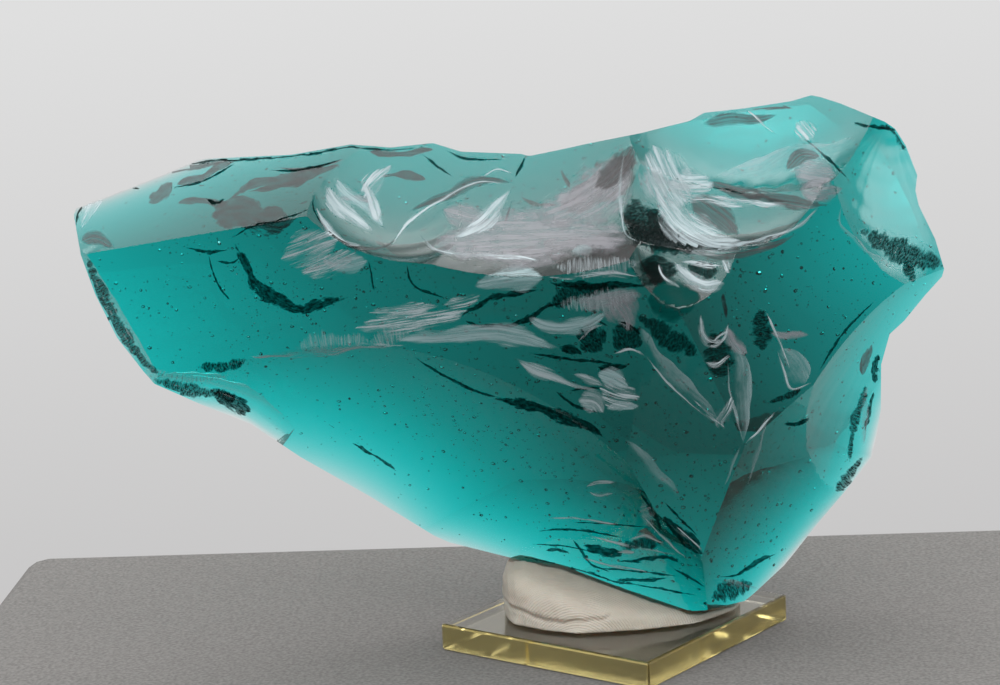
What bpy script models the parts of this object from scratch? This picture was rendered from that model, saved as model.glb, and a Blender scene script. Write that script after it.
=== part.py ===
"""Andara glass on its display stand: a teal chunk of fractured glass, a putty bed and a clear base.

Units are metres, +Z is up, and the origin is the centre of the base's underside. The chunk is made
as nature made it: a blank with the chunk's outline, struck by one hollow scar after another. Each
scar is a shallow turned dish that is cut away, so every ridge is the edge between two scars.
"""

import math

import bmesh
import bpy
from mathutils import Matrix, Vector

MM = 0.001

# --- base -----------------------------------------------------------------------------------
BASE_SIDE = 50.0
BASE_THICK = 5.4
BASE_YAW = -37.8  # degrees about Z: one corner points to the front
BASE_EDGE = 0.5  # polished bevel

# --- glass: the blank -----------------------------------------------------------------------
BLANK_CENTRE = (-20.6, 8.0, 59.6)
BLANK_LEAN = 11.8  # degrees that the blank's faces lean back
BLANK_APEX = 556.0  # the sides of the blank would meet this far in front of its middle plane
BLANK_FRONT = 50.0  # depth of the blank in front of its middle plane, and behind it
BLANK_BACK = 38.0
# Outline in the middle plane, from the left tip over the top and round (x right, y up).
OUTLINE = (
    (-84.0, 29.5), (-83.0, 32.0), (-79.0, 33.5), (-77.0, 36.0), (-72.5, 37.0), (-58.5, 39.5),
    (-40.0, 39.5), (-28.0, 41.0), (-20.0, 40.0), (-11.5, 40.5), (-6.0, 38.5), (6.0, 37.5),
    (7.5, 37.0), (11.0, 37.5), (20.0, 39.0), (30.0, 40.5), (40.0, 42.5), (43.0, 44.0),
    (51.0, 44.5), (60.5, 45.5), (64.5, 46.5), (66.5, 46.0), (70.5, 44.5), (79.0, 40.5),
    (81.0, 39.0), (83.0, 35.5), (85.0, 29.5), (84.5, 26.5), (85.0, 23.5), (88.0, 16.5),
    (89.5, 10.5), (89.0, 9.0), (85.5, 5.5), (81.0, 0.5), (78.0, -2.0), (76.0, -8.0),
    (75.5, -17.0), (74.0, -24.0), (73.5, -26.0), (68.5, -32.0), (61.5, -39.5), (55.0, -47.0),
    (48.5, -52.5), (46.5, -54.0), (38.5, -55.5), (35.5, -55.5), (21.5, -50.0), (10.0, -45.0),
    (3.0, -44.0), (-2.0, -42.5), (-12.0, -39.5), (-15.0, -38.0), (-27.5, -29.5),
    (-41.0, -21.0), (-50.5, -14.0), (-60.5, -9.5), (-69.5, -5.0), (-71.5, -2.5),
    (-76.5, 4.5), (-80.5, 13.5), (-83.0, 21.5),
)

# --- glass: the scars -----------------------------------------------------------------------
HEART = (0.0, 5.0, 60.0)  # a point well inside the chunk: every scar faces away from it
SCAR_DEPTH = 90.0  # how far a cutter reaches outward from its scar
SCAR_STEP = 4.5  # degrees of slope between two rings of a scar
# Fracture faces: name, three corners on the face, hollow radius, reach from the deepest point.
FACES = (
    ("top_band", (-102.5, 1.0, 83.0), (-55.0, -10.0, 90.0), (-48.5, 10.0, 100.5), 900, 150),
    ("front_left", (-101.0, 0.0, 81.0), (-55.0, -10.0, 90.0), (-2.0, -26.0, 68.0), 500, 150),
    ("front_right", (25.5, -21.0, 81.0), (59.0, -2.0, 69.5), (24.5, -26.0, 45.0), 500, 150),
    ("lower_right", (28.0, -23.5, 46.5), (41.0, -14.0, 54.0), (25.5, -8.0, 9.0), 400, 150),
    ("keel", (6.0, -29.0, 63.5), (24.5, -26.0, 45.0), (16.5, -24.5, 24.0), 300, 150),
    ("belly", (-74.5, -4.5, 60.0), (-29.5, 7.0, 17.5), (1.0, -26.5, 44.5), 105, 110),
    ("shelf", (-40.0, -13.5, 66.0), (5.5, -29.0, 67.5), (-11.5, -21.5, 56.0), 300, 50),
    ("foot", (7.5, -24.0, 30.5), (15.5, -25.0, 24.0), (-11.0, -3.0, 15.0), 200, 100),
    ("thumb_scoop", (-55.5, -4.5, 92.0), (-43.5, -12.0, 82.0), (-32.5, 7.0, 96.0), 28, 22),
    ("small_scoop", (6.5, -29.5, 77.0), (18.0, -26.5, 73.5), (24.5, -22.0, 80.0), 14, 16),
    ("right_end", (58.5, 6.0, 99.5), (46.0, -8.0, 87.0), (59.0, -2.0, 69.5), 70, 50),
    ("right_rim", (59.0, -2.0, 69.5), (37.5, -11.0, 41.5), (46.0, 5.5, 23.5), 110, 60),
    ("left_edge", (-100.5, 0.0, 82.5), (-89.0, -1.5, 60.0), (-99.5, 8.0, 70.0), 300, 60),
    ("left_heel", (-89.5, -1.5, 58.0), (-73.0, -2.0, 56.5), (-70.5, 10.0, 44.5), 40, 16),
    ("left_tip", (-102.5, 2.0, 83.5), (-95.5, -0.5, 84.0), (-100.0, 14.0, 92.0), 60, 20),
    ("back_top_left", (-98.0, 22.5, 94.0), (-32.5, 20.0, 99.0), (-55.0, 19.0, 70.0), 900, 150),
    ("back_low_left", (-92.0, 10.0, 54.5), (-30.0, 12.0, 15.5), (-55.0, 18.0, 68.5), 900, 150),
    ("back_top", (-13.0, 22.0, 95.0), (45.0, 20.0, 104.5), (20.0, 26.0, 60.0), 900, 150),
    ("back_right", (64.0, 12.0, 88.0), (68.5, 10.0, 70.0), (34.0, 24.0, 62.0), 900, 150),
    ("back_low_right", (62.0, 11.0, 55.0), (52.0, 12.5, 24.0), (20.0, 24.0, 45.0), 900, 150),
    ("back_foot", (26.0, -4.0, 8.0), (-4.5, 1.0, 12.0), (16.0, 22.0, 42.0), 900, 150),
)
# Scoops: name, deepest point, direction it faces, hollow radius across and along, reach.
SCOOPS = (
    ("saddle", (-13.5, -3.0, 87.5), (-0.15, -0.58, 0.80), 64, 60, 60),
    ("upper_bowl", (30.0, 6.0, 93.5), (0.0, -0.6, 0.8), 34, 20, 40),
    ("lower_bowl", (23.0, -8.0, 84.0), (0.0, -0.6, 0.8), 32, 14, 34),
    ("back_shell", (34.0, 10.0, 73.0), (0.05, 0.99, -0.1), 130, 60, 60),
)

# --- putty ----------------------------------------------------------------------------------
GAP = 0.3  # clearance between pieces that touch
SEAT_SHIFT = (-0.3, 0.1, -0.65)  # the glass is moved by this to cut its seat in the putty
PUTTY_POINTS = 14  # points across each section
PUTTY_ROUND = 0.6  # below 1 the sections are fuller than a half ellipse
# Stations along X: x, front edge y, back edge y, height at the front and at the back.
PUTTY_STATIONS = (
    (-22.3, -4.0, 7.0, 7.0, 8.0),
    (-20.5, -8.5, 11.0, 10.5, 13.0),
    (-15.0, -13.0, 13.5, 9.5, 15.0),
    (-8.5, -16.5, 14.5, 7.5, 15.0),
    (4.0, -16.0, 13.5, 5.0, 14.0),
    (15.0, -13.8, 11.0, 2.6, 10.0),
    (21.0, -8.5, 8.0, 2.5, 6.0),
    (25.5, -4.0, 5.0, 2.6, 3.0),
)


def clear_scene():
    for obj in list(bpy.data.objects):
        bpy.data.objects.remove(obj, do_unlink=True)


def new_collection(name):
    collection = bpy.data.collections.new(name)
    bpy.context.scene.collection.children.link(collection)
    return collection


def add_object(name, mesh, collection):
    obj = bpy.data.objects.new(name, mesh)
    collection.objects.link(obj)
    return obj


def principled(name, colour, roughness, **inputs):
    """A material whose Principled node takes the given socket values."""
    material = bpy.data.materials.new(name)
    material.use_nodes = True
    shader = material.node_tree.nodes["Principled BSDF"]
    shader.inputs["Base Color"].default_value = (*colour, 1.0)
    shader.inputs["Roughness"].default_value = roughness
    for socket, value in inputs.items():
        shader.inputs[socket.replace("_", " ")].default_value = value
    return material


def sharpen_edges(obj, angle):
    """Smooth shading that stops at edges steeper than the angle."""
    tree = bpy.data.node_groups.new(obj.name + "_shading", "GeometryNodeTree")
    for in_out in ("INPUT", "OUTPUT"):
        tree.interface.new_socket("Geometry", in_out=in_out, socket_type="NodeSocketGeometry")
    start = tree.nodes.new("NodeGroupInput")
    end = tree.nodes.new("NodeGroupOutput")
    edge_angle = tree.nodes.new("GeometryNodeInputMeshEdgeAngle")
    steep = tree.nodes.new("FunctionNodeCompare")
    steep.operation = "GREATER_THAN"
    steep.inputs["B"].default_value = math.radians(angle)
    faces = tree.nodes.new("GeometryNodeSetShadeSmooth")
    edges = tree.nodes.new("GeometryNodeSetShadeSmooth")
    edges.domain = "EDGE"
    edges.inputs["Shade Smooth"].default_value = False
    tree.links.new(start.outputs["Geometry"], faces.inputs["Geometry"])
    tree.links.new(faces.outputs["Geometry"], edges.inputs["Geometry"])
    tree.links.new(edge_angle.outputs["Unsigned Angle"], steep.inputs["A"])
    tree.links.new(steep.outputs["Result"], edges.inputs["Selection"])
    tree.links.new(edges.outputs["Geometry"], end.inputs["Geometry"])
    modifier = obj.modifiers.new("shading", "NODES")
    modifier.node_group = tree


def cut(obj, cutter, name):
    modifier = obj.modifiers.new(name, "BOOLEAN")
    modifier.operation = "DIFFERENCE"
    modifier.solver = "EXACT"
    modifier.object = cutter


# --- glass ----------------------------------------------------------------------------------
def blank_mesh():
    """The outline drawn out to a block whose sides taper toward the front."""
    mesh = bpy.data.meshes.new("blank")
    shape = bmesh.new()
    front_scale = 1 - BLANK_FRONT / BLANK_APEX
    back_scale = 1 + BLANK_BACK / BLANK_APEX
    back = [shape.verts.new((x * back_scale, y * back_scale, -BLANK_BACK)) for x, y in OUTLINE]
    face = shape.faces.new(back)
    drawn = bmesh.ops.extrude_face_region(shape, geom=[face])
    for vertex in (item for item in drawn["geom"] if isinstance(item, bmesh.types.BMVert)):
        vertex.co.x *= front_scale / back_scale
        vertex.co.y *= front_scale / back_scale
        vertex.co.z = BLANK_FRONT
    bmesh.ops.recalc_face_normals(shape, faces=shape.faces[:])
    shape.to_mesh(mesh)
    shape.free()
    mesh.transform(Matrix.Scale(MM, 4))
    return mesh


def dish_cutter(name, deepest, facing, across, along, reach, collection):
    """A solid of revolution whose underside is a parabola: hollow radius across and along."""
    turned = max(across, along)
    rings = max(3, math.ceil(math.degrees(math.atan(reach / min(across, along))) / SCAR_STEP))
    radii = [reach * (ring / rings) ** 1.15 for ring in range(rings + 1)]
    bowl = [(radius, radius * radius / (2 * turned)) for radius in radii]
    top = bowl[-1][1] + SCAR_DEPTH
    profile = [(0.0, top), (reach, top)] + bowl[::-1]
    mesh = bpy.data.meshes.new(name)
    points = [(radius * MM, 0.0, height * MM) for radius, height in profile]
    mesh.from_pydata(points, [(i, i + 1) for i in range(len(points) - 1)], [])
    cutter = add_object(name, mesh, collection)
    turn = cutter.modifiers.new("turn", "SCREW")
    turn.steps = turn.render_steps = 24 if across >= 300 else 40
    turn.use_merge_vertices = True
    turn.merge_threshold = 0.0001
    turn.use_normal_calculate = True
    normal = Vector(facing).normalized()
    right = Vector((0.0, 0.0, 1.0)).cross(normal).normalized()
    up = normal.cross(right)
    turned_axes = Matrix((right, up, normal)).transposed().to_4x4()
    squash = Matrix.Diagonal((math.sqrt(across / turned), math.sqrt(along / turned), 1.0, 1.0))
    cutter.matrix_world = Matrix.Translation(Vector(deepest) * MM) @ turned_axes @ squash
    cutter.display_type = "WIRE"
    return cutter


def face_cutter(name, corner_a, corner_b, corner_c, hollow, reach, collection):
    """The dish of the given hollow radius that passes through three corners."""
    a, b, c = Vector(corner_a), Vector(corner_b), Vector(corner_c)
    normal = (b - a).cross(c - a).normalized()
    if normal.dot((a + b + c) / 3 - Vector(HEART)) < 0:
        normal = -normal
    to_a, to_b = a - c, b - c
    across = to_a.cross(to_b)
    weighted = to_a * to_b.length_squared - to_b * to_a.length_squared
    centre = c + across.cross(weighted) / (2 * across.length_squared)
    deepest = centre - normal * (a - centre).length_squared / (2 * hollow)
    return dish_cutter(name, deepest, normal, hollow, hollow, reach, collection)


def build_glass(parts, cutters):
    chunk = add_object("glass_chunk", blank_mesh(), parts)
    chunk.matrix_world = Matrix.Translation(Vector(BLANK_CENTRE) * MM) @ Matrix.Rotation(
        math.radians(90 - BLANK_LEAN), 4, "X"
    )
    for name, corner_a, corner_b, corner_c, hollow, reach in FACES:
        cutter = face_cutter(name, corner_a, corner_b, corner_c, hollow, reach, cutters)
        cut(chunk, cutter, name)
    for name, deepest, facing, across, along, reach in SCOOPS:
        cut(chunk, dish_cutter(name, deepest, facing, across, along, reach, cutters), name)
    sharpen_edges(chunk, 12)
    chunk.data.materials.append(
        principled(
            "teal_glass", (0.0, 0.42, 0.42), 0.02, Transmission_Weight=1.0, IOR=1.5
        )
    )
    return chunk


# --- base -----------------------------------------------------------------------------------
def build_base(parts):
    mesh = bpy.data.meshes.new("display_base")
    shape = bmesh.new()
    bmesh.ops.create_cube(shape, size=1.0)
    shape.to_mesh(mesh)
    shape.free()
    size = Matrix.Diagonal((BASE_SIDE * MM, BASE_SIDE * MM, BASE_THICK * MM, 1.0))
    mesh.transform(Matrix.Translation((0.0, 0.0, BASE_THICK * MM / 2)) @ size)
    base = add_object("display_base", mesh, parts)
    base.rotation_euler.z = math.radians(BASE_YAW)
    edge = base.modifiers.new("polished_edge", "BEVEL")
    edge.width = BASE_EDGE * MM
    edge.segments = 2
    edge.limit_method = "ANGLE"
    base.data.materials.append(
        principled(
            "clear_acrylic", (0.95, 0.93, 0.78), 0.03, Transmission_Weight=1.0, IOR=1.49
        )
    )
    return base


# --- putty ----------------------------------------------------------------------------------
def putty_mesh():
    """A lump lofted through the stations, flat underneath and bulging over the base."""
    mesh = bpy.data.meshes.new("mounting_putty")
    shape = bmesh.new()
    floor = (BASE_THICK + GAP) * MM
    sections = []
    for x, front, back, front_height, back_height in PUTTY_STATIONS:
        middle, half = (front + back) / 2, (back - front) / 2
        section = []
        for step in range(PUTTY_POINTS + 1):
            turn = math.pi * step / PUTTY_POINTS
            across = math.copysign(abs(math.cos(turn)) ** PUTTY_ROUND, math.cos(turn))
            rise = max(math.sin(turn), 0.0) ** PUTTY_ROUND
            backward = ((1 - across) / 2) ** 3
            height = front_height + (back_height - front_height) * backward
            y = middle - half * across
            section.append(shape.verts.new((x * MM, y * MM, floor + height * rise * MM)))
        sections.append(section)
    for one, two in zip(sections, sections[1:]):
        for step in range(PUTTY_POINTS):
            shape.faces.new((one[step], one[step + 1], two[step + 1], two[step]))
        shape.faces.new((one[0], two[0], two[-1], one[-1]))
    for end in (sections[0], sections[-1]):
        for step in range(PUTTY_POINTS // 2 - 1):
            shape.faces.new((end[step], end[step + 1], end[-step - 2], end[-step - 1]))
        crest = PUTTY_POINTS // 2
        shape.faces.new(end[crest - 1 : crest + 2])
    bmesh.ops.recalc_face_normals(shape, faces=shape.faces[:])
    crease = shape.edges.layers.float.new("crease_edge")
    for edge in shape.edges:
        heights = [vertex.co.z for vertex in edge.verts]
        if max(heights) < floor + 0.1 * MM:
            edge[crease] = 1.0
    shape.to_mesh(mesh)
    shape.free()
    return mesh


def build_putty(chunk, parts, cutters):
    putty = add_object("mounting_putty", putty_mesh(), parts)
    rounding = putty.modifiers.new("rounding", "SUBSURF")
    rounding.levels = rounding.render_levels = 1
    bpy.context.view_layer.update()
    graph = bpy.context.evaluated_depsgraph_get()
    seat_mesh = bpy.data.meshes.new_from_object(chunk.evaluated_get(graph))
    seat = add_object("glass_seat", seat_mesh, cutters)
    shift = Matrix.Translation(Vector(SEAT_SHIFT) * MM)
    seat.matrix_world = shift @ chunk.matrix_world
    seat.display_type = "WIRE"
    cut(putty, seat, "seat_of_the_glass")
    sharpen_edges(putty, 35)
    putty.data.materials.append(principled("mineral_putty", (0.62, 0.58, 0.51), 0.75))
    return putty


def main():
    clear_scene()
    parts = new_collection("andara_glass")
    cutters = new_collection("cutters")
    cutters.hide_render = True
    chunk = build_glass(parts, cutters)
    build_putty(chunk, parts, cutters)
    build_base(parts)


main()
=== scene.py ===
"""Andara glass on its display stand: a teal chunk of fractured glass, a putty bed and a clear base.

The chunk is struck from a blank by hollow fractures, as the frame's own solid is, but each fracture
here carries its own relief: ripples round the point it started from, and hackles running away from
it. Thin skins laid along the struck chunk then paint its light and shade: dark ones for the shade
in its cracks and splintered edges, pale ones for the glints and sheen of its bright steps.
Sizes are millimetres unless they say metres.
"""

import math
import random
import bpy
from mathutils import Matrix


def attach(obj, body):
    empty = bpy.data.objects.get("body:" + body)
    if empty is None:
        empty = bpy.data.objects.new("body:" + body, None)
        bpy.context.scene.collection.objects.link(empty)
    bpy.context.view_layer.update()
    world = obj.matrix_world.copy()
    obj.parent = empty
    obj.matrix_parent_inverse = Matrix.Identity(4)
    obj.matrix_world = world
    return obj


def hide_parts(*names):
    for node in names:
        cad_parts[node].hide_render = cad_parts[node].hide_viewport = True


bl_info = {
    "name": "Andara Glass on a Stand",
    "version": (1, 0, 0),
    "blender": (4, 5, 0),
    "location": "3D View > Sidebar > Andara",
    "description": "Fractured teal glass bedded in putty on a clear acrylic base",
    "category": "Add Mesh",
}

import bmesh
import bpy
import numpy as np
from bpy.props import FloatProperty, FloatVectorProperty, IntProperty, PointerProperty
from mathutils import Matrix, Vector, noise
from mathutils.bvhtree import BVHTree

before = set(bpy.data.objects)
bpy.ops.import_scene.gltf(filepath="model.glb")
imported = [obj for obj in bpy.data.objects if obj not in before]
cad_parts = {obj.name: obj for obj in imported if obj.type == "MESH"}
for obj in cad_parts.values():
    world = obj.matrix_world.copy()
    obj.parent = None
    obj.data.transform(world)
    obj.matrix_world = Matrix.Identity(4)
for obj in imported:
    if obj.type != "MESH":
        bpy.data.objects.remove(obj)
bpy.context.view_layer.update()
MM = 0.001


# --- small tools ------------------------------------------------------------------------------
def linear(code):
    """Linear red, green and blue of an sRGB hex colour."""
    channels = [int(code[i : i + 2], 16) / 255 for i in (1, 3, 5)]
    return tuple(c / 12.92 if c <= 0.04045 else ((c + 0.055) / 1.055) ** 2.4 for c in channels)


def node(tree, kind, inputs=None, **settings):
    """Adds a shader node with its settings, and gives each named socket its value or its link."""
    made = tree.nodes.new(kind)
    for name, value in settings.items():
        setattr(made, name, value)
    for name, value in (inputs or {}).items():
        if isinstance(value, bpy.types.NodeSocket):
            tree.links.new(value, made.inputs[name])
        else:
            made.inputs[name].default_value = value
    return made


def new_material(name):
    """A material with no nodes yet."""
    material = bpy.data.materials.new(name)
    material.use_nodes = True
    material.node_tree.nodes.clear()
    return material


def new_object(name, mesh):
    """An object for the mesh, in the scene."""
    made = bpy.data.objects.new(name, mesh)
    bpy.context.scene.collection.objects.link(made)
    return made


def finish_mesh(obj):
    """Applies all the object's modifiers."""
    graph = bpy.context.evaluated_depsgraph_get()
    finished = bpy.data.meshes.new_from_object(obj.evaluated_get(graph), depsgraph=graph)
    rough = obj.data
    obj.modifiers.clear()
    obj.data = finished
    bpy.data.meshes.remove(rough)


def discard(objects):
    """Removes objects and their meshes."""
    for obj in objects:
        mesh = obj.data
        bpy.data.objects.remove(obj, do_unlink=True)
        bpy.data.meshes.remove(mesh)


# --- the glass: its fractures -----------------------------------------------------------------
BLANK_CENTRE = (-20.6, 8.0, 59.6)
BLANK_LEAN = 11.8  # degrees that the blank leans back
BLANK_APEX = 556.0  # how far in front of its middle plane the blank's sides would meet
BLANK_FRONT, BLANK_BACK = 50.0, 38.0  # how far it reaches from its middle plane
# Outline in the blank's middle plane, from the left tip over the top and round.
OUTLINE = (
    (-84.0, 29.5), (-83.0, 32.0), (-79.0, 33.5), (-77.0, 36.0), (-72.5, 37.0), (-58.5, 39.5),
    (-40.0, 39.5), (-28.0, 41.0), (-20.0, 40.0), (-11.5, 40.5), (-6.0, 38.5), (6.0, 37.5),
    (7.5, 37.0), (11.0, 37.5), (20.0, 39.0), (30.0, 40.5), (40.0, 42.5), (43.0, 44.0),
    (51.0, 44.5), (60.5, 45.5), (64.5, 46.5), (66.5, 46.0), (70.5, 44.5), (79.0, 40.5),
    (81.0, 39.0), (83.0, 35.5), (85.0, 29.5), (84.5, 26.5), (85.0, 23.5), (88.0, 16.5),
    (89.5, 10.5), (89.0, 9.0), (85.5, 5.5), (81.0, 0.5), (78.0, -2.0), (76.0, -8.0),
    (75.5, -17.0), (74.0, -24.0), (73.5, -26.0), (68.5, -32.0), (61.5, -39.5), (55.0, -47.0),
    (48.5, -52.5), (46.5, -54.0), (38.5, -55.5), (35.5, -55.5), (21.5, -50.0), (10.0, -45.0),
    (3.0, -44.0), (-2.0, -42.5), (-12.0, -39.5), (-15.0, -38.0), (-27.5, -29.5),
    (-41.0, -21.0), (-50.5, -14.0), (-60.5, -9.5), (-69.5, -5.0), (-71.5, -2.5),
    (-76.5, 4.5), (-80.5, 13.5), (-83.0, 21.5),
)
HEART = (0.0, 5.0, 60.0)  # a point well inside: every fracture faces away from it
DEPTH = 90.0  # how far a cutter reaches outward
# Fractures through three corners: name, corners, hollow radius, reach, the point it started
# from, ripple height, hackle height.
FACES = (
    ("top_band", (-102.5, 1, 83), (-55, -10, 90), (-48.5, 10, 100.5), 900, 150, (-40, -14, 108), 0.0, 0.0),
    ("front_left", (-101, 0, 81), (-55, -10, 90), (-2, -26, 68), 500, 150, (4, -29, 74), 0.03, 0.03),
    ("front_right", (25.5, -21, 81), (59, -2, 69.5), (24.5, -26, 45), 500, 150, (24, -24, 74), 0.012, 0.0),
    ("lower_right", (28, -23.5, 46.5), (41, -14, 54), (25.5, -8, 9), 400, 150, (40, -14, 52), 0.01, 0.0),
    ("keel", (6, -29, 63.5), (24.5, -26, 45), (16.5, -24.5, 24), 300, 150, (20, -28, 60), 0.015, 0.0),
    ("belly", (-74.5, -4.5, 60), (-29.5, 7, 17.5), (1, -26.5, 44.5), 105, 110, (8, -27, 62), 0.03, 0.02),
    ("shelf", (-40, -13.5, 66), (5.5, -29, 67.5), (-11.5, -21.5, 56), 300, 50, (8, -29, 72), 0.02, 0.01),
    ("foot", (7.5, -24, 30.5), (15.5, -25, 24), (-11, -3, 15), 200, 100, (14, -25, 36), 0.05, 0.05),
    ("thumb_scoop", (-55.5, -4.5, 92), (-43.5, -12, 82), (-32.5, 7, 96), 28, 22, (-38, 4, 97), 0.08, 0.0),
    ("small_scoop", (6.5, -29.5, 77), (18, -26.5, 73.5), (24.5, -22, 80), 14, 16, (8, -24, 82), 0.10, 0.03),
    ("right_end", (58.5, 6, 99.5), (46, -8, 87), (59, -2, 69.5), 70, 50, (60, 4, 102), 0.04, 0.02),
    ("right_rim", (59, -2, 69.5), (37.5, -11, 41.5), (46, 5.5, 23.5), 110, 60, (64, 0, 70), 0.04, 0.02),
    ("left_edge", (-100.5, 0, 82.5), (-89, -1.5, 60), (-99.5, 8, 70), 300, 60, (-103, 2, 84), 0.05, 0.10),
    ("left_heel", (-89.5, -1.5, 58), (-73, -2, 56.5), (-70.5, 10, 44.5), 40, 16, (-90, 0, 60), 0.10, 0.25),
    ("left_tip", (-102.5, 2, 83.5), (-95.5, -0.5, 84), (-100, 14, 92), 60, 20, (-104, 4, 86), 0.10, 0.05),
    ("back_top_left", (-98, 22.5, 94), (-32.5, 20, 99), (-55, 19, 70), 900, 150, (-60, 22, 108), 0.02, 0.01),
    ("back_low_left", (-92, 10, 54.5), (-30, 12, 15.5), (-55, 18, 68.5), 900, 150, (-45, 20, 70), 0.02, 0.01),
    ("back_top", (-13, 22, 95), (45, 20, 104.5), (20, 26, 60), 900, 150, (20, 22, 104), 0.02, 0.01),
    ("back_right", (64, 12, 88), (68.5, 10, 70), (34, 24, 62), 900, 150, (62, 10, 80), 0.0, 0.0),
    ("back_low_right", (62, 11, 55), (52, 12.5, 24), (20, 24, 45), 900, 150, (60, 10, 50), 0.0, 0.0),
    ("back_foot", (26, -4, 8), (-4.5, 1, 12), (16, 22, 42), 900, 150, (10, 4, 5), 0.0, 0.0),
)
# Scoops: name, deepest point, the way it faces, hollow radius across and along, reach, start,
# ripple height, hackle height.
SCOOPS = (
    ("saddle", (-13.5, -3, 87.5), (-0.15, -0.58, 0.80), 64, 60, 60, (8, -8, 88), 0.04, 0.02),
    ("upper_bowl", (30, 6, 93.5), (0, -0.6, 0.8), 34, 20, 40, (10, 12, 102), 0.08, 0.03),
    ("lower_bowl", (23, -8, 84), (0, -0.6, 0.8), 32, 14, 34, (6, -6, 90), 0.08, 0.05),
    ("back_shell", (34, 10, 73), (0.05, 0.99, -0.1), 130, 60, 60, (64, 12, 92), 0.04, 0.0),
)

# The relief of a fracture.
RIPPLE, SWELL = 3.2, 7.4  # spacing of its short and its long ripples near the start
HACKLE_RAYS = ((23, 9.0), (37, 5.0), (61, 3.5))  # lines round the start, and length of their kinks
SMOOTH_START = 8.0  # relief grows to its full height over this
HACKLE_GROWTH, HACKLE_MOST = 25.0, 1.5  # hackles grow to 1 over this, and on to 1.5 at most
# The mesh of a fracture: fine rings about its start, then coarser ones out to its reach.
RING_STEP = 0.9
RING_GROWTH = 1.25
SPOKE_STEP = 1.0  # spacing of the points round a ring
SPOKE_MEASURED = 0.55  # where that spacing holds, as a share of the largest fine ring
FEWEST_SPOKES, MOST_SPOKES = 48, 280
PAST_CORNERS, PAST_REACH = 12, 10  # how far the fine rings run on, and past the reach at most
RIDGE_ANGLE = 20  # degrees: an edge where the surface turns more than this is sharp


def fracture_relief(away, angle, ripple, hackle, seed):
    """Height of a fracture's relief in mm: rings about its start, and rays away from it."""
    wobble = 1.1 * np.sin(2 * angle + seed) + 0.5 * np.sin(5 * angle + 1.7 * seed)
    rings = np.sin(2 * np.pi * (away / RIPPLE) ** 0.9 + wobble)
    rings += 0.5 * np.sin(2 * np.pi * (away / SWELL) ** 0.95 - wobble)
    patches = 0.5 + 0.5 * np.sin(3 * angle + 0.09 * away + seed)
    rays = sum(
        np.sin(count * angle + seed * count + 0.8 * np.sin(away / kink))
        for count, kink in HACKLE_RAYS
    )
    fade = np.clip(away / SMOOTH_START, 0, 1)
    growth = np.clip(away / HACKLE_GROWTH, 0, HACKLE_MOST)
    return fade * (ripple * rings * patches + hackle * rays * growth / 2)


def dish(name, deepest, facing, across, along, reach, start, ripple, hackle, fine):
    """A closed cutter whose underside is a dish with its relief, in rings about the start."""
    normal = Vector(facing).normalized()
    right = Vector((0.0, 0.0, 1.0)).cross(normal).normalized()
    up = normal.cross(right)
    axes = Matrix((right, up, normal)).transposed()
    offset = axes.transposed() @ (Vector(start) - Vector(deepest))
    rings = list(np.arange(RING_STEP, fine, RING_STEP))
    while rings[-1] < reach + offset.xy.length:
        rings.append(rings[-1] * RING_GROWTH)
    spokes = 2 * math.pi * fine * SPOKE_MEASURED / SPOKE_STEP
    count = int(np.clip(spokes, FEWEST_SPOKES, MOST_SPOKES))
    angle = np.linspace(0, 2 * np.pi, count, endpoint=False)
    away, angle = np.meshgrid(np.array(rings), angle, indexing="ij")
    x = offset.x + away * np.cos(angle)
    y = offset.y + away * np.sin(angle)
    seed = sum(map(ord, name)) % 97  # its own for each fracture
    relief = fracture_relief(away, angle, ripple, hackle, seed)
    z = x**2 / (2 * across) + y**2 / (2 * along) + relief
    middle = [offset.x, offset.y, offset.x**2 / (2 * across) + offset.y**2 / (2 * along)]
    top = max(float(z.max()), middle[2]) + DEPTH
    rows = len(rings)
    rim = np.column_stack([x[-1], y[-1], np.full(count, top)])
    shell = np.column_stack([x.ravel(), y.ravel(), z.ravel()])
    points = np.vstack([[middle], shell, rim, [[offset.x, offset.y, top]]])
    index = 1 + np.arange((rows + 1) * count).reshape(rows + 1, count)
    turned = np.roll(index, -1, axis=1)
    quads = np.stack([index[:-1], index[1:], turned[1:], turned[:-1]], -1).reshape(-1, 4)
    faces = [tuple(face[::-1]) for face in quads.tolist()]
    last = len(points) - 1
    faces += [(0, a, b) for a, b in zip(turned[0].tolist(), index[0].tolist())]
    faces += [(last, b, a) for a, b in zip(turned[-1].tolist(), index[-1].tolist())]
    world = points @ np.array(axes).T + np.array(deepest)
    mesh = bpy.data.meshes.new(name)
    mesh.from_pydata((world * MM).tolist(), [], faces)
    return new_object(name, mesh)


def face_dish(name, corner_a, corner_b, corner_c, hollow, reach, start, ripple, hackle):
    """The dish of the given hollow radius that passes through three corners."""
    a, b, c = Vector(corner_a), Vector(corner_b), Vector(corner_c)
    normal = (b - a).cross(c - a).normalized()
    if normal.dot((a + b + c) / 3 - Vector(HEART)) < 0:
        normal = -normal
    to_a, to_b = a - c, b - c
    across = to_a.cross(to_b)
    weighted = to_a * to_b.length_squared - to_b * to_a.length_squared
    centre = c + across.cross(weighted) / (2 * across.length_squared)
    deepest = centre - normal * (a - centre).length_squared / (2 * hollow)
    farthest = max((Vector(start) - corner).length for corner in (a, b, c))
    fine = min(farthest + PAST_CORNERS, reach + PAST_REACH)
    return dish(name, deepest, normal, hollow, hollow, reach, start, ripple, hackle, fine)


def stood_blank():
    """The turn and shift from the blank's own axes to where it stands, in mm."""
    lean = Matrix.Rotation(math.radians(90 - BLANK_LEAN), 4, "X")
    return Matrix.Translation(BLANK_CENTRE) @ lean


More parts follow.
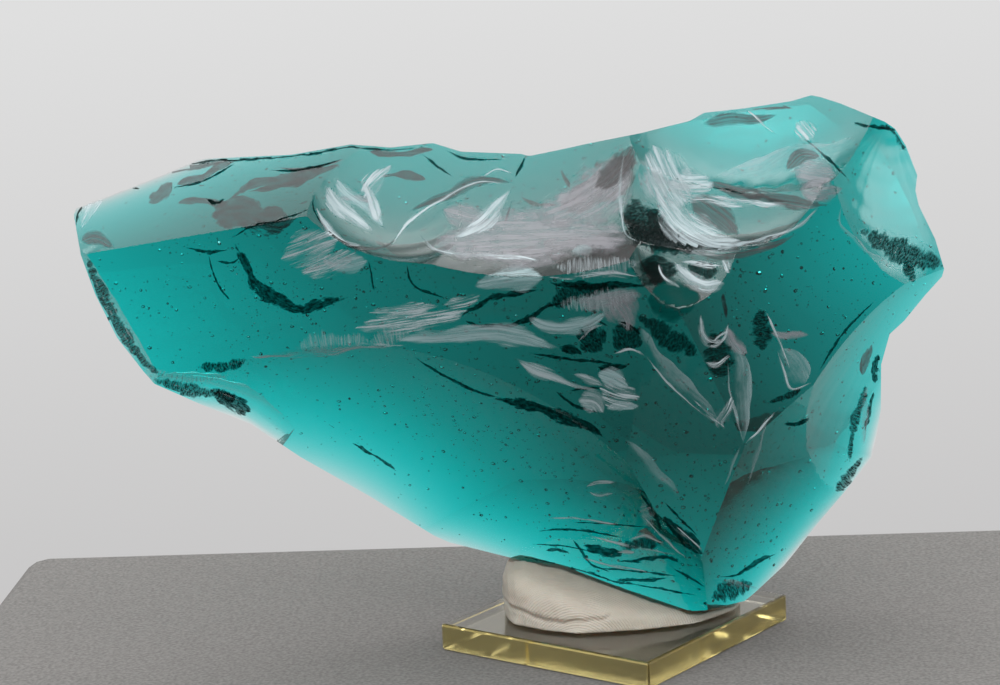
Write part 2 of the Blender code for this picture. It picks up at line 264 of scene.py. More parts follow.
def blank():
    """The outline drawn out to a block whose sides taper toward the front."""
    shape = bmesh.new()
    front_scale = 1 - BLANK_FRONT / BLANK_APEX
    back_scale = 1 + BLANK_BACK / BLANK_APEX
    back = [shape.verts.new((x * back_scale, y * back_scale, -BLANK_BACK)) for x, y in OUTLINE]
    drawn = bmesh.ops.extrude_face_region(shape, geom=[shape.faces.new(back)])
    for vertex in (item for item in drawn["geom"] if isinstance(item, bmesh.types.BMVert)):
        vertex.co.xy *= front_scale / back_scale
        vertex.co.z = BLANK_FRONT
    bmesh.ops.recalc_face_normals(shape, faces=shape.faces[:])
    mesh = bpy.data.meshes.new("blank")
    shape.to_mesh(mesh)
    shape.free()
    mesh.transform(Matrix.Scale(MM, 4) @ stood_blank())
    return new_object("fractured_glass", mesh)


def strike(chunk):
    """Strikes every fracture and scoop from the blank."""
    cutters = [face_dish(*row) for row in FACES]
    for name, deepest, facing, across, along, reach, start, ripple, hackle in SCOOPS:
        cutters.append(
            dish(name, deepest, facing, across, along, reach, start, ripple, hackle, reach)
        )
    for cutter in cutters:
        blow = chunk.modifiers.new(cutter.name, "BOOLEAN")
        blow.operation = "DIFFERENCE"
        blow.solver = "MANIFOLD"
        blow.object = cutter
    finish_mesh(chunk)
    discard(cutters)


# --- the glass: painted shade and highlights over its fractures -------------------------------
# Painted shade and highlights, each a thin skin: kind, width at the widest place, then the points that
# the mark runs through, in the blank's middle plane. A row's number in this table seeds its wander, so
# a new row goes at the end.
PAINTED_MARKS = (
    # The left face.
    ("crack_shade", 0.7, ((-62.5, 22), (-58, 21), (-53, 21))),
    ("crack_shade", 2.6, (
        (-52.5, 23), (-50.5, 18.5), (-48.5, 14), (-44, 10.5), (-39.5, 8.5), (-34.5, 9.5), (-29, 11)
    )),
    ("crack_shade", 0.7, ((-56, 19), (-53, 18.5), (-51, 19.5))),
    ("crack_shade", 0.5, ((-57.5, 20.5), (-56.5, 16), (-54.5, 11.5))),
    ("crack_shade", 0.5, ((-55.5, 13.5), (-53.5, 11))),
    ("crack_shade", 0.7, ((-53, 23), (-48.5, 25.5), (-43, 26.5), (-36.5, 28.5))),
    ("crack_shade", 0.8, ((-25.5, 18), (-25, 14.5), (-24.5, 11))),
    # The band along the top, with the painted shadow of parted cracks under it.
    ("shade", 3.2, ((-83, 24), (-80, 24.7), (-76, 22.5))),
    ("shadow", 3.0, ((-69.5, 31.5), (-66.5, 33), (-64, 35.5))),
    ("shadow", 1.6, ((-76, 35), (-66, 37.5), (-57, 38.5), (-50, 40))),
    ("crack_shade", 0.6, ((-72, 36.5), (-58, 38.9), (-46, 39), (-35, 39.6), (-28, 40.5), (-20, 39.5), (-11.5, 40))),
    ("shadow", 2.0, ((-64, 34.5), (-58, 36), (-54, 38), (-50.5, 39.5))),
    ("shadow", 2.6, ((-53, 31.5), (-48, 34), (-40.5, 34.5), (-30, 37.5))),
    ("shadow", 1.4, ((-50, 32.5), (-42, 33.5), (-36, 35))),
    ("shadow", 5.5, ((-57, 27), (-51, 28.5), (-46, 27), (-39.5, 26.5))),
    ("shadow", 1.8, ((-64, 31), (-58, 31.5), (-54.5, 30.5), (-52.5, 31))),
    ("shadow", 1.0, ((-44, 37.5), (-37, 36.5), (-29, 38.5))),
    ("shadow", 1.8, ((-25, 39.5), (-18, 38.8), (-11, 39.3))),
    ("crack_shade", 0.5, ((-64.5, 34), (-58, 35), (-51, 38.5))),
    ("crack_shade", 0.5, ((-45, 36.5), (-38, 36.5), (-29.5, 38))),
    ("crack_shade", 0.6, ((-57.5, 31.5), (-55.5, 30.5), (-53.5, 31.5))),
    ("crack_shade", 0.5, ((-76, 33.5), (-73, 34.5), (-70.5, 34))),
    # The left tip, edge and heel.
    ("hackle", 2.4, ((-82.5, 26.5), (-80.5, 30), (-78, 33))),
    ("crack_shade", 1.2, ((-83.8, 26.5), (-83.3, 30), (-80.5, 32.8))),
    ("crushed_shade", 2.8, ((-82.2, 21.8), (-79.4, 14), (-77.5, 9.5), (-75.2, 5), (-70.6, -1.4), (-67, -3.8))),
    ("comb", 1.0, ((-71, -1.5), (-65, -4), (-59, -4.5), (-54, -4))),
    ("crushed_shade", 3.4, ((-70, -4), (-63, -6.3), (-57, -7.5), (-52.5, -9.5))),
    ("crack_shade", 3.6, ((-58, -7), (-54, -9.5), (-50, -11.8))),
    ("crushed_shade", 2.4, ((-61, -2), (-56, -2), (-50.5, -1))),
    # The long ledge across the front.
    ("hackle", 1.2, ((-50, -0.3), (-43, -0.7), (-35, -0.3), (-27, 0.5), (-19, 0.3))),
    ("comb", 3.4, ((-41, 0.8), (-35, 1.8), (-29, 2), (-26, 1.5))),
    ("comb", 2.8, ((-26, 1.3), (-22, 2.3), (-18, 2.5))),
    ("sheen", 3.6, ((-21.5, 1.6), (-14, 1.9), (-6, 1.9), (0, 2), (4.5, 0.8), (8, -0.5), (12.5, -1.7))),
    ("hackle", 3.4, ((-29, 4), (-21, 4.6), (-12, 5.6), (-6, 6.5))),
    ("hackle", 2.4, ((-26, 7), (-19, 7.2), (-12, 8))),
    ("hackle", 2.0, ((-11, 8), (-7, 8.5), (-3.5, 9.8))),
    ("flare", 2.2, ((3, -3.2), (6, -5.2), (10, -7), (15, -9.3), (20, -10.5))),
    ("flare", 1.4, ((14.3, -7), (17.5, -8.3), (20.5, -10))),
    ("flare", 3.2, ((15, -12.3), (18.5, -12.8), (20.3, -14.8))),
    ("sheen", 2.6, ((19, -7), (22, -8.2), (25.5, -10.5))),
    ("hackle", 4.0, ((19.5, -9.8), (23, -11.3), (27.5, -12.5))),
    ("sheen", 2.0, ((20.5, -14.3), (24, -13.8), (27.5, -14))),
    ("crack_shade", 0.8, ((13, -10.3), (17, -10), (20, -10.2))),
    ("crack_shade", 1.0, ((10, -9.8), (14, -13), (19.5, -15.3))),
    ("crack_shade", 0.7, ((5, -2.3), (11, -3.5), (17, -4.5), (24, -5.5))),
    ("crack_shade", 1.4, ((19, -5.6), (22, -6), (25.5, -5.6))),
    # The leaf-shaped crack over the ledge.
    ("crack_shade", 1.2, ((-8, 5.2), (-5, 7), (-1.5, 9), (3, 9.5), (9, 10.4))),
    ("crack_shade", 1.3, ((-8, 5.2), (-4.5, 3.6), (0, 3.2), (5, 4), (9, 6.2), (14, 7.8))),
    ("crack_shade", 1.8, ((10, 11.4), (15, 10.9), (20, 10.4), (25, 10.5), (30, 10))),
    ("crushed_shade", 3.4, ((9, 6.8), (13, 8.6), (17, 9.6), (24, 9.8))),
    ("crack_shade", 0.6, ((-18, 17), (-17.5, 13.5), (-15, 11), (-10, 9.4))),
    # The thumb scoop and the hackles that fan out below it.
    ("hackle", 5.5, ((-43, 18.5), (-37, 20.5), (-31, 22.5))),
    ("hackle", 4.0, ((-39, 15.5), (-34, 17), (-28, 19.5))),
    ("sheen", 3.2, ((-35, 18.5), (-30, 17), (-25.5, 17.5))),
    ("shade", 1.2, ((-35, 26), (-31.5, 22.3), (-27, 20.2), (-22.5, 20.2), (-19, 22))),
    ("flare", 2.6, ((-33.5, 33), (-31, 29), (-27, 25), (-24, 23))),
    ("sheen", 3.0, ((-31.5, 34.5), (-29, 31), (-24.5, 27), (-22, 24))),
    ("reflection_veil", 2.0, ((-31, 30.5), (-27, 30), (-23.5, 29.5))),
    ("flare", 1.6, ((-26, 33.5), (-24, 29), (-23, 25))),
    ("flare", 1.0, ((-35.5, 29), (-34, 25.5), (-30.5, 21.8), (-26.5, 20.5))),
    ("crack_shade", 0.5, ((-35.8, 32), (-36, 28.5), (-33.5, 24.3), (-29, 20.8), (-24, 20))),
    ("hackle", 2.6, ((-26, 30), (-23.5, 33.5), (-20, 36.5))),
    ("shadow", 2.0, ((-22.5, 34.3), (-17.5, 34.8), (-13, 33.3))),
    # The saddle.
    ("shadow", 8.0, ((12, 25.5), (18, 28.5), (24, 32), (29, 37))),
    ("shade", 2.2, ((-17, 27.3), (-9, 30), (-2, 32.5), (4, 32))),
    ("shadow", 1.0, ((5, 29.5), (8, 27.5), (13, 27))),
    ("shadow", 1.2, ((13.5, 34.5), (15.5, 30))),
    ("reflection_veil", 11.0, ((-14, 20), (-4, 20.5), (6, 20.5), (16, 20.5), (28, 19))),
    ("reflection_veil", 10.0, ((8, 24), (16, 26.5), (22, 29.5), (28, 35.5))),
    ("shade", 4.0, ((20, 30), (24, 32.5), (26.5, 35), (28.5, 38.5))),
    ("reflection_veil", 5.0, ((-10.5, 27), (-6, 25.5), (-1, 24))),
    ("flare", 2.6, ((-8.5, 21.5), (-3, 24), (0.5, 27), (3.7, 30.5))),
    ("hackle", 1.1, ((-15, 22), (-12, 19), (-5, 17.5), (2, 17.3), (10, 15.3))),
    ("sheen", 4.4, ((-5, 11.5), (3, 12.5), (9.5, 12.5))),
    ("comb", 4.4, ((11, 14.5), (20, 14), (29, 14.5))),
    ("hackle", 1.1, ((10, 12.7), (16, 12.5), (22, 12.7), (29, 12))),
    ("gleam", 1.6, ((15, 17.2), (19.5, 17.8))),
    ("crack_shade", 0.6, ((6.8, 36.8), (4.6, 32.8))),
    ("crack_shade", 0.5, ((3.5, 28), (1.8, 23))),
    ("crack_shade", 0.7, ((5.3, 38), (8, 37.3), (12.5, 37.9))),
    ("crack_shade", 0.5, ((-14, 38.5), (-11, 36), (-8, 33.5))),
    ("flare", 0.6, ((-21, 20), (-17, 25), (-10, 29.3), (-3, 32.2), (3, 31.5))),
    ("flare", 0.7, ((26.6, 37), (25.7, 32), (25.5, 26), (26, 20.8), (29, 18.5))),
    ("flare", 0.5, ((-2, 33.3), (1, 34.6), (4, 33.6))),
    ("crack_shade", 0.5, ((-9, 39), (-5, 37), (3, 36.5))),
    # The two bowls.
    ("flare", 8.0, ((32, 38), (33.5, 33.5), (35.5, 29), (38, 24.5))),
    ("flare", 4.0, ((31.5, 34), (33, 30), (34.5, 26.5))),
    ("flare", 5.0, ((32.5, 29), (35, 25), (38, 21), (43.5, 18), (50, 17.4))),
    ("flare", 4.0, ((35, 31), (39, 29.8), (44.5, 29.3))),
    ("shade", 4.6, ((39, 27.5), (42.5, 25), (46, 22), (48.5, 18.8))),
    ("hackle", 1.6, ((37, 27.5), (44, 26.3), (53, 25))),
    ("flare", 0.9, ((46, 17.3), (52, 17.8), (60, 20), (65, 24))),
    ("crushed_shade", 7.5, ((28, 28.5), (28.8, 24.5), (31, 21.3), (36, 18.6), (42, 17))),
    ("crushed_shade", 5.0, ((31.5, 25.5), (32.5, 22.5), (36, 19.5))),
    ("crushed_shade", 4.5, ((27, 22), (29, 20), (34, 18.2), (40, 16.6))),
    ("shade", 2.0, ((34, 17.4), (40, 16.4), (46, 15.7), (54, 16.6), (61, 19))),
    ("shade", 2.8, ((41.5, 30.3), (48, 28.2), (55, 26.3), (63, 24.6), (68, 24.6))),
    ("crack_shade", 1.2, ((42, 29.6), (48, 28), (56, 26), (64, 24.4))),
    ("hackle", 1.1, ((41, 27), (50, 26), (58, 24.6), (65, 23.8))),
    ("shade", 2.4, ((59, 31.5), (62, 34.5), (66, 34.3))),
    ("reflection_veil", 5.0, ((60, 32), (64, 31), (69, 30))),
    ("reflection_veil", 3.4, ((61, 28), (66, 27), (70, 27.5))),
    ("gleam", 3.0, ((44, 30.5), (52, 31.5), (58, 34), (62, 37))),
    ("gleam", 2.4, ((60, 36.5), (66, 35), (73, 37.5))),
    ("crack_shade", 0.7, ((62.5, 38), (67, 34), (71.3, 29.3))),
    # The top edge over the bowls.
    ("shade", 2.8, ((42, 41.9), (48, 42.3), (54, 42.4), (58, 43))),
    ("shadow", 1.3, ((52, 44.3), (58, 44.5), (61, 44))),
    ("hackle", 0.7, ((51.5, 44), (54, 41.5), (57, 39))),
    ("hackle", 3.4, ((61.5, 41.5), (63, 39.5), (64.5, 37.5))),
    ("crack_shade", 1.0, ((72.5, 40.5), (77, 39.7), (81, 39))),
    ("crushed_shade", 2.6, ((77, 39.5), (81, 38.7), (84.3, 34.5))),
    # The right end.
    ("crushed_shade", 5.2, ((72.8, 19), (77, 16.8), (81, 14.6), (85, 12.8), (90, 10.8))),
    ("crushed_shade", 2.4, ((81.5, 12.5), (82.3, 10.3), (83.5, 8))),
    ("gleam", 0.7, ((69.5, 24.5), (69, 20.5), (72, 17), (75, 14), (81, 10.3))),
    # The small scoop.
    ("crushed_shade", 6.0, ((32.5, 16.2), (32.3, 13), (33.3, 9.8))),
    ("crushed_shade", 4.0, ((30, 15.5), (31.5, 12.5), (34, 10.5))),
    ("crushed_shade", 3.0, ((38, 13.8), (41, 12.3), (45, 12.2))),
    ("flare", 3.4, ((35.3, 14.6), (38, 11.2), (41.5, 9.2), (45.5, 9.6))),
    ("deep", 7.0, ((29.5, 7.5), (34, 7), (41, 7.3))),
    ("hackle", 1.4, ((37, 14.2), (41, 13.6), (45, 13.2))),
    ("hackle", 1.0, ((32.5, 14.3), (33.5, 11.5), (36.5, 9.2))),
    ("hackle", 1.4, ((45.3, 14.5), (46.7, 11.7))),
    # The heart, where the front faces meet.
    ("sheen", 3.0, ((5.5, 5), (9, 3), (13, 2.2), (18, 3), (22, 5))),
    ("reflection_veil", 4.5, ((15, 7.3), (22, 7.5), (29, 8))),
    ("reflection_veil", 5.5, ((22.5, 8.5), (25, 4.5), (26.5, 0.5))),
    ("comb", 3.6, ((12, 7), (20, 7.3), (28.5, 8.5))),
    ("crack_shade", 0.6, ((16.5, 2.5), (19, 3.4), (22, 2.2))),
    ("crack_shade", 0.5, ((23, 3.4), (26, 2.2), (28.5, 0))),
    ("hackle", 0.4, ((22.5, -3.4), (26, -2.6), (29, -4.2))),
    ("hackle", 0.4, ((15.5, -0.8), (18, 1.6), (21, 2.6))),
    ("crushed_shade", 5.0, ((16, -2.3), (18.5, 0), (21.5, 1.2))),
    ("crushed_shade", 5.0, ((22.3, -1.8), (25.5, -0.2), (28.5, -2))),
    ("crack_shade", 1.6, ((11.5, -1.3), (14, -2), (16.5, -3.3))),
    ("crushed_shade", 3.8, ((27, 4.4), (31, 1.7), (34.5, -1), (37.5, -3), (40, -5))),
    ("crushed_shade", 5.4, ((41.6, 0.5), (43, -3), (43.6, -6), (44, -9.5))),
    ("reflection_veil", 3.6, ((45.3, 1), (47, -2.3), (49.5, -4.5))),
    ("crushed_shade", 4.2, ((52.2, 4.5), (52.4, 0), (52.2, -4.5))),
    ("reflection_veil", 2.0, ((54, -0.3), (57, -1.3), (62, -1.5))),
    ("shadow", 1.3, ((45, 8), (45.5, 5), (45.8, 2.5))),
    ("hackle", 1.2, ((40.3, 4), (40.5, 0), (42.5, -2.3), (45, -1.5), (46, 1.5))),
    ("hackle", 0.9, ((40.7, -6), (43.2, -6.2), (46, -4.6))),
    ("hackle", 0.5, ((42.5, -2), (44, -0.8), (45.8, 0.3))),
    # The flutes down the right face, in painted sheen and highlights.
    ("gleam", 2.6, ((27.5, 2), (31, -4), (35, -9), (39.5, -13.8), (43.5, -18.5))),
    ("flare", 0.4, ((29, -4), (33, -9.5), (38, -14.5), (43, -19))),
    ("hackle", 0.7, ((38, -13.3), (41, -16.3), (43.8, -18.8))),
    ("gleam", 2.6, ((46, -1), (47.5, -6), (48, -11), (47.7, -16), (47.7, -22.5))),
    ("flare", 0.4, ((45.3, -6), (45.5, -12), (46.5, -17), (47.7, -22.3))),
    ("hackle", 2.6, ((46, -13), (44.7, -15.5), (43.3, -18), (44, -19.3))),
    ("gleam", 5.0, ((55.5, -4), (58.5, -7.5), (60.5, -11.5))),
    ("flare", 0.4, ((55.3, -4), (56.3, -8), (57.8, -12), (62, -11))),
    ("hackle", 0.6, ((53.5, 3.5), (55, 0), (56.5, -4), (58, -9))),
    ("gleam", 2.2, ((24, -20.5), (27.5, -25), (31, -29), (34.5, -33))),
    ("gleam", 0.6, ((47, -23), (45, -27), (43.5, -31))),
    ("gleam", 0.7, ((52.5, -18), (50, -25), (48, -31))),
    ("hackle", 0.7, ((48, -22.7), (51, -20), (54.5, -16))),
    ("crushed_shade", 1.8, ((53, -14.8), (56, -13.6), (60, -12))),
    ("crack_shade", 1.4, ((55.5, -19), (59, -19), (61.5, -18))),
    # The right rim.
    ("crack_shade", 0.6, ((63, -9.5), (66, -5), (70, 0), (76, 5.5))),
    ("shadow", 2.4, ((74.3, -3.5), (73, -7), (72, -10.5))),
    ("crack_shade", 1.6, ((75.8, -5.5), (74.7, -9), (74.7, -12))),
    ("crushed_shade", 1.8, ((73, -11.5), (71.2, -17), (69.4, -22), (68.6, -27.5))),
    ("crack_shade", 1.2, ((74.2, -13), (73, -18), (72, -21.5))),
    ("crushed_shade", 2.2, ((71.5, -26), (69, -29.3), (65.5, -33.5))),
    ("gleam", 2.0, ((73, -12), (72, -17), (71.5, -24))),
    # The belly.
    ("crack_shade", 0.7, ((-18, -1.5), (-14, -4.5), (-9, -7.5), (-4, -10), (1, -11.5))),
    ("crack_shade", 2.3, ((-3, -10.7), (4, -12.6), (9, -14.6), (13, -16), (17, -17.5), (20.5, -20.7))),
    ("crack_shade", 0.8, ((-31, -18.5), (-26, -21.5), (-21.5, -25))),
    # The foot and the keel.
    ("hackle", 0.7, ((15.7, -29.6), (19, -29), (22, -29))),
    ("hackle", 0.9, ((16.3, -30.7), (18.5, -31.6), (21.3, -31.2))),
    ("crack_shade", 0.6, ((5, -38), (11, -38), (17, -38.8), (24, -40.5))),
    ("crack_shade", 1.9, ((14.5, -41.3), (18, -42.6), (23, -43.3))),
    ("crushed_shade", 3.6, ((22, -42.3), (26.5, -41.5), (30, -42.2))),
    ("hackle", 1.1, ((21.5, -43.3), (25, -43))),
    ("hackle", 0.8, ((24.3, -40.3), (27.5, -39.8), (31, -41.7))),
    ("crack_shade", 1.1, ((21, -45), (27, -44.8), (31.5, -44.7), (35, -46.6))),
    ("crack_shade", 0.6, ((12, -39), (14, -42), (16, -45), (20, -47))),
    ("crack_shade", 0.8, ((7, -42), (9.5, -42), (12, -42.6))),
    ("crack_shade", 0.8, ((2, -43), (8, -44.5), (14, -46.5), (21, -49), (27, -50))),
    ("crack_shade", 0.9, ((20, -48.5), (26, -49), (31.5, -48.8))),
    ("hackle", 0.4, ((8, -35.5), (14, -36), (22, -37.5))),
    ("crack_shade", 0.4, ((12, -36.5), (20, -37.3), (29, -38.5))),
    ("crack_shade", 0.4, ((4, -40.5), (12, -41.5), (19, -43.5))),
    ("hackle", 0.4, ((16, -39.5), (24, -42), (33, -44))),
    ("crack_shade", 0.5, ((17, -46), (25, -47), (34, -48.5))),
    ("hackle", 0.4, ((13, -43.5), (20, -45.5), (28, -47.5))),
    ("crack_shade", 0.5, ((31, -33), (34, -36.5), (38, -41))),
    ("hackle", 0.4, ((27, -36), (30.5, -40), (36, -45.5))),
    ("crack_shade", 0.5, ((32, -46.5), (36, -49), (39, -51))),
    ("crack_shade", 0.4, ((24, -49.5), (31, -51), (37, -52.5))),
    ("crack_shade", 2.6, ((30, -36), (33.5, -39), (36.5, -42), (39, -44.6))),
    ("hackle", 0.5, ((33.5, -38.5), (36, -41), (38.5, -43.5))),
    ("crack_shade", 1.1, ((26.5, -31), (28.5, -34.5), (30, -37.5), (30.5, -40.5))),
    ("comb", 2.4, ((27, -33.3), (28.7, -38.5))),
    ("crack_shade", 1.1, ((41.5, -49), (46, -48.5), (50, -46), (53.5, -44.8))),
    ("crushed_shade", 3.4, ((39.5, -53), (44, -51.5), (48.5, -50.7))),
    ("gleam", 1.0, ((41.7, -49.7), (46, -51), (49.3, -51.5))),
)
# Kinds of mark, the painted shade and highlights: how high its skin lies over the surface, or under it
# where negative, the height of its ridges, the spacing of its mesh, whether its streaks run across it,
# and whether it ends sharply along its left side, as a flute does, and fades to its right.
KINDS = {
    "crack_shade": (0.02, 0.0, 0.5, False, False),
    "shadow": (-0.35, 0.0, 0.6, False, False),
    "crushed_shade": (0.03, 0.06, 0.4, True, False),
    "hackle": (0.05, 0.10, 0.35, False, False),
    "comb": (0.05, 0.10, 0.35, True, False),
    "gleam": (0.04, 0.02, 0.5, False, True),
    "sheen": (0.04, 0.02, 0.45, False, False),
    "flare": (0.06, 0.06, 0.4, False, False),
    "reflection_veil": (0.02, 0.02, 0.6, False, False),
    "deep": (0.03, 0.0, 0.5, False, False),
    "shade": (0.03, 0.02, 0.5, False, False),
}
# How a skin is laid.
SKIN_HALF = 0.66  # its half width, as a share of the mark's width: its edge fades, so over a half
SKIN_HAIR = 0.05  # least half width
SKIN_TAPER = 2.4  # how bluntly it runs out: 2 is round
SKIN_FADE = 6  # how late its cover fades at its ends
SKIN_SWELL = 0.8  # how far its width varies, as a share of it
SKIN_SWAY, SWAY_MOST = 0.3, 1.5  # how far its middle strays, as a share of its width up to 1.5 mm
STRIDE, STRIDE_GROWTH = 2.5, 1.2  # length of one stray in the thinnest mark, and growth by width
RIDGE_LENGTH, RIDGES_ACROSS = 7, 1.6  # how long its ridges run, and how many there are to a mm
SKIN_REACH = 6  # a face whose side is longer than this many steps would leap a gap, so is left out


def curve_through(points, step):
    """Points about a step apart on a smooth curve through the given ones."""
    stops = np.array(points, float)
    stops = np.vstack([2 * stops[0] - stops[1], stops, 2 * stops[-1] - stops[-2]])
    path = []
    for a, b, c, d in zip(stops, stops[1:], stops[2:], stops[3:]):
        count = max(2, round(float(np.linalg.norm(c - b)) / step))
        t = np.linspace(0, 1, count, endpoint=False)[:, None]
        turn = (2 * a - 5 * b + 4 * c - d) * t**2 + (3 * b - a - 3 * c + d) * t**3
        path.append(b + ((c - a) * t + turn) / 2)
    return np.vstack([*path, stops[-2]])


def mark_course(width, points, step, seed):
    """A mark's middle line with its strays: for each point the place, the way to its left, the
    half width, the length run, and how far it is from the middle, -1 to 1."""
    path = curve_through(points, step)
    run = np.concatenate([[0], np.cumsum(np.linalg.norm(np.diff(path, axis=0), axis=1))])
    heading = np.gradient(path, axis=0)
    heading /= np.linalg.norm(heading, axis=1)[:, None]
    side = np.column_stack([-heading[:, 1], heading[:, 0]])
    ends = 2 * run / run[-1] - 1
    stride = STRIDE + STRIDE_GROWTH * width
    sway = np.array([noise.noise(Vector((at / stride, 7.3 * seed, 0))) for at in run])
    swell = np.array([noise.noise(Vector((at / stride, 3.1 * seed, 9))) for at in run])
    path = path + side * sway[:, None] * SKIN_SWAY * min(width, SWAY_MOST)
    taper = 1 - np.abs(ends) ** SKIN_TAPER
    half = SKIN_HALF * width * taper * (1 + SKIN_SWELL * swell) + SKIN_HAIR
    return zip(path, side, half, run, ends)


def mark_skin(surface, kind, width, points, seed):
    """A mark's skin laid along the surface: points, faces, cover at each point, and grain."""
    lift, ridge, step, crosswise, fluted = KINDS[kind]
    lanes = np.linspace(-1, 1, max(3, round(width / step) + 1))
    stood = stood_blank()
    apex = stood @ Vector((0, 0, BLANK_APEX)) * MM
    placed, spots, cover, grain = {}, [], [], []
    for i, (at, out, half, run, end) in enumerate(mark_course(width, points, step, seed)):
        for j, lane in enumerate(lanes):
            target = stood @ Vector((*(at + out * half * lane), 0)) * MM
            hit, normal, _, _ = surface.ray_cast(apex, (target - apex).normalized())
            if hit is None:
                continue
            fade = (0.5 + 0.5 * lane if fluted else 1 - lane**2) * (1 - end**SKIN_FADE)
            streak = Vector((run, half * lane, seed))
            if crosswise:
                streak.xy = streak.yx
            rough = Vector((streak.x / RIDGE_LENGTH, streak.y * RIDGES_ACROSS, seed))
            placed[i, j] = len(spots)
            spots.append(hit + normal * (ridge * fade * noise.noise(rough) + lift) * MM)
            cover.append(fade)
            grain.append(tuple(streak))
    faces = []
    for i, j in placed:
        corners = [placed.get(key) for key in ((i, j), (i + 1, j), (i + 1, j + 1), (i, j + 1))]
        if None in corners:
            continue
        around = zip(corners, corners[1:] + corners[:1])
        if max((spots[a] - spots[b]).length for a, b in around) < SKIN_REACH * step * MM:
            faces.append(corners)
    return spots, faces, cover, grain


def lay_marks(surface, kind):
    """All the marks of one kind, as one piece."""
    spots, faces, cover, grain = [], [], [], []
    for seed, (name, width, points) in enumerate(PAINTED_MARKS):
        if name != kind:
            continue
        skin = mark_skin(surface, kind, width, points, seed)
        faces += [[len(spots) + corner for corner in face] for face in skin[1]]
        spots += skin[0]
        cover += skin[2]
        grain += skin[3]
    mesh = bpy.data.meshes.new(f"{kind}_marks")
    mesh.from_pydata(spots, [], faces)
    mesh.attributes.new("cover", "FLOAT", "POINT").data.foreach_set("value", cover)
    flat = [value for streak in grain for value in streak]
    mesh.attributes.new("grain", "FLOAT_VECTOR", "POINT").data.foreach_set("vector", flat)
    shape = bmesh.new()
    shape.from_mesh(mesh)
    loose = [vertex for vertex in shape.verts if not vertex.link_faces]
    bmesh.ops.delete(shape, geom=loose, context="VERTS")
    shape.to_mesh(mesh)
    shape.free()
    mesh.shade_smooth()
    mesh.materials.append(painted_mark_finish(**FINISHES[kind]))
    piece = new_object(mesh.name, mesh)
    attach(piece, "root")


# --- the glass: its bubbles -------------------------------------------------------------------
BUBBLE_LEAST, BUBBLE_MORE = 0.13, 0.30  # the smallest radius, and what the largest has more
BUBBLE_RARITY = 5  # the higher, the rarer the large ones are
BUBBLE_LONGEST = 1.8  # most that one is drawn out
BUBBLE_SEED = 11


def enclosed(tree, at):
    """Whether the surface is met from inside in all six directions."""
    for axis in range(3):
        for sign in (-1, 1):
            direction = Vector((0, 0, 0))
            direction[axis] = sign
            _, normal, _, _ = tree.ray_cast(at, direction)
            if normal is None or normal.dot(direction) < 0:
                return False
    return True


def bubbles_inside(mesh, count):
    """Small round cavities, their faces turned inward, well inside the glass."""
    chance = random.Random(BUBBLE_SEED)
    shape = bmesh.new()
    shape.from_mesh(mesh)
    tree = BVHTree.FromBMesh(shape)
    shape.free()
    low = Vector(min(v.co[i] for v in mesh.vertices) for i in range(3))
    high = Vector(max(v.co[i] for v in mesh.vertices) for i in range(3))
    ball = bmesh.new()
    bmesh.ops.create_icosphere(ball, subdivisions=1, radius=1.0)
    ball_points = [vertex.co.copy() for vertex in ball.verts]
    ball_faces = [[vertex.index for vertex in reversed(face.verts)] for face in ball.faces]
    ball.free()
    points, faces = [], []
    while len(points) < count * len(ball_points):
        at = Vector(chance.uniform(a, b) for a, b in zip(low, high))
        radius = (BUBBLE_LEAST + BUBBLE_MORE * chance.random() ** BUBBLE_RARITY) * MM
        if tree.find_nearest(at)[3] < 2 * radius or not enclosed(tree, at):
            continue
        turn = Matrix.Rotation(chance.uniform(0, 3), 4, "Z")
        length = chance.uniform(1, BUBBLE_LONGEST) * radius
        place = Matrix.Translation(at) @ turn @ Matrix.Diagonal((length, radius, radius, 1))
        faces += [[len(points) + corner for corner in face] for face in ball_faces]
        points += [place @ point for point in ball_points]
    cavities = bpy.data.meshes.new("bubbles")
    cavities.from_pydata(points, [], faces)
    return cavities


def add_bubbles(mesh, count):
    """Joins the cavities to the chunk's mesh."""
    bubbles = bubbles_inside(mesh, count)
    shape = bmesh.new()
    shape.from_mesh(mesh)
    shape.from_mesh(bubbles)
    shape.to_mesh(mesh)
    shape.free()
    bpy.data.meshes.remove(bubbles)


# --- the putty --------------------------------------------------------------------------------
THUMB = (-9.0, -20.0, 1.0)  # centre of the whorl that a thumb left on the putty's front
FINGER_RIDGE, RIDGE_WAVER = 0.5, 1.2  # spacing of the whorl's ridges, and how far they stray
PUTTY_GRAIN = 0.35  # spacing of the putty's mesh
LUMPS = ((0.26, 5), (0.12, 1.8))  # heights and sizes of its lumps
LUMP_MOST = 0.12  # how far a lump may stand out
FOLD_UP, FOLD_WAVE, FOLD_WAVER = 3.2, 1.1, 0.8  # the fold's height over the foot, and its wander
FOLD_DEPTH, FOLD_WIDTH = 0.45, 0.45
LIP_UP, LIP_HEIGHT, LIP_WIDTH = 1.0, 0.18, 0.7  # the lip over the fold
FOOT = 1.2  # the pushes fade over this toward the flat foot


def rounded(distance, width):
    """A smooth hump, 1 at its middle."""
    return math.exp(-((distance / width) ** 2))


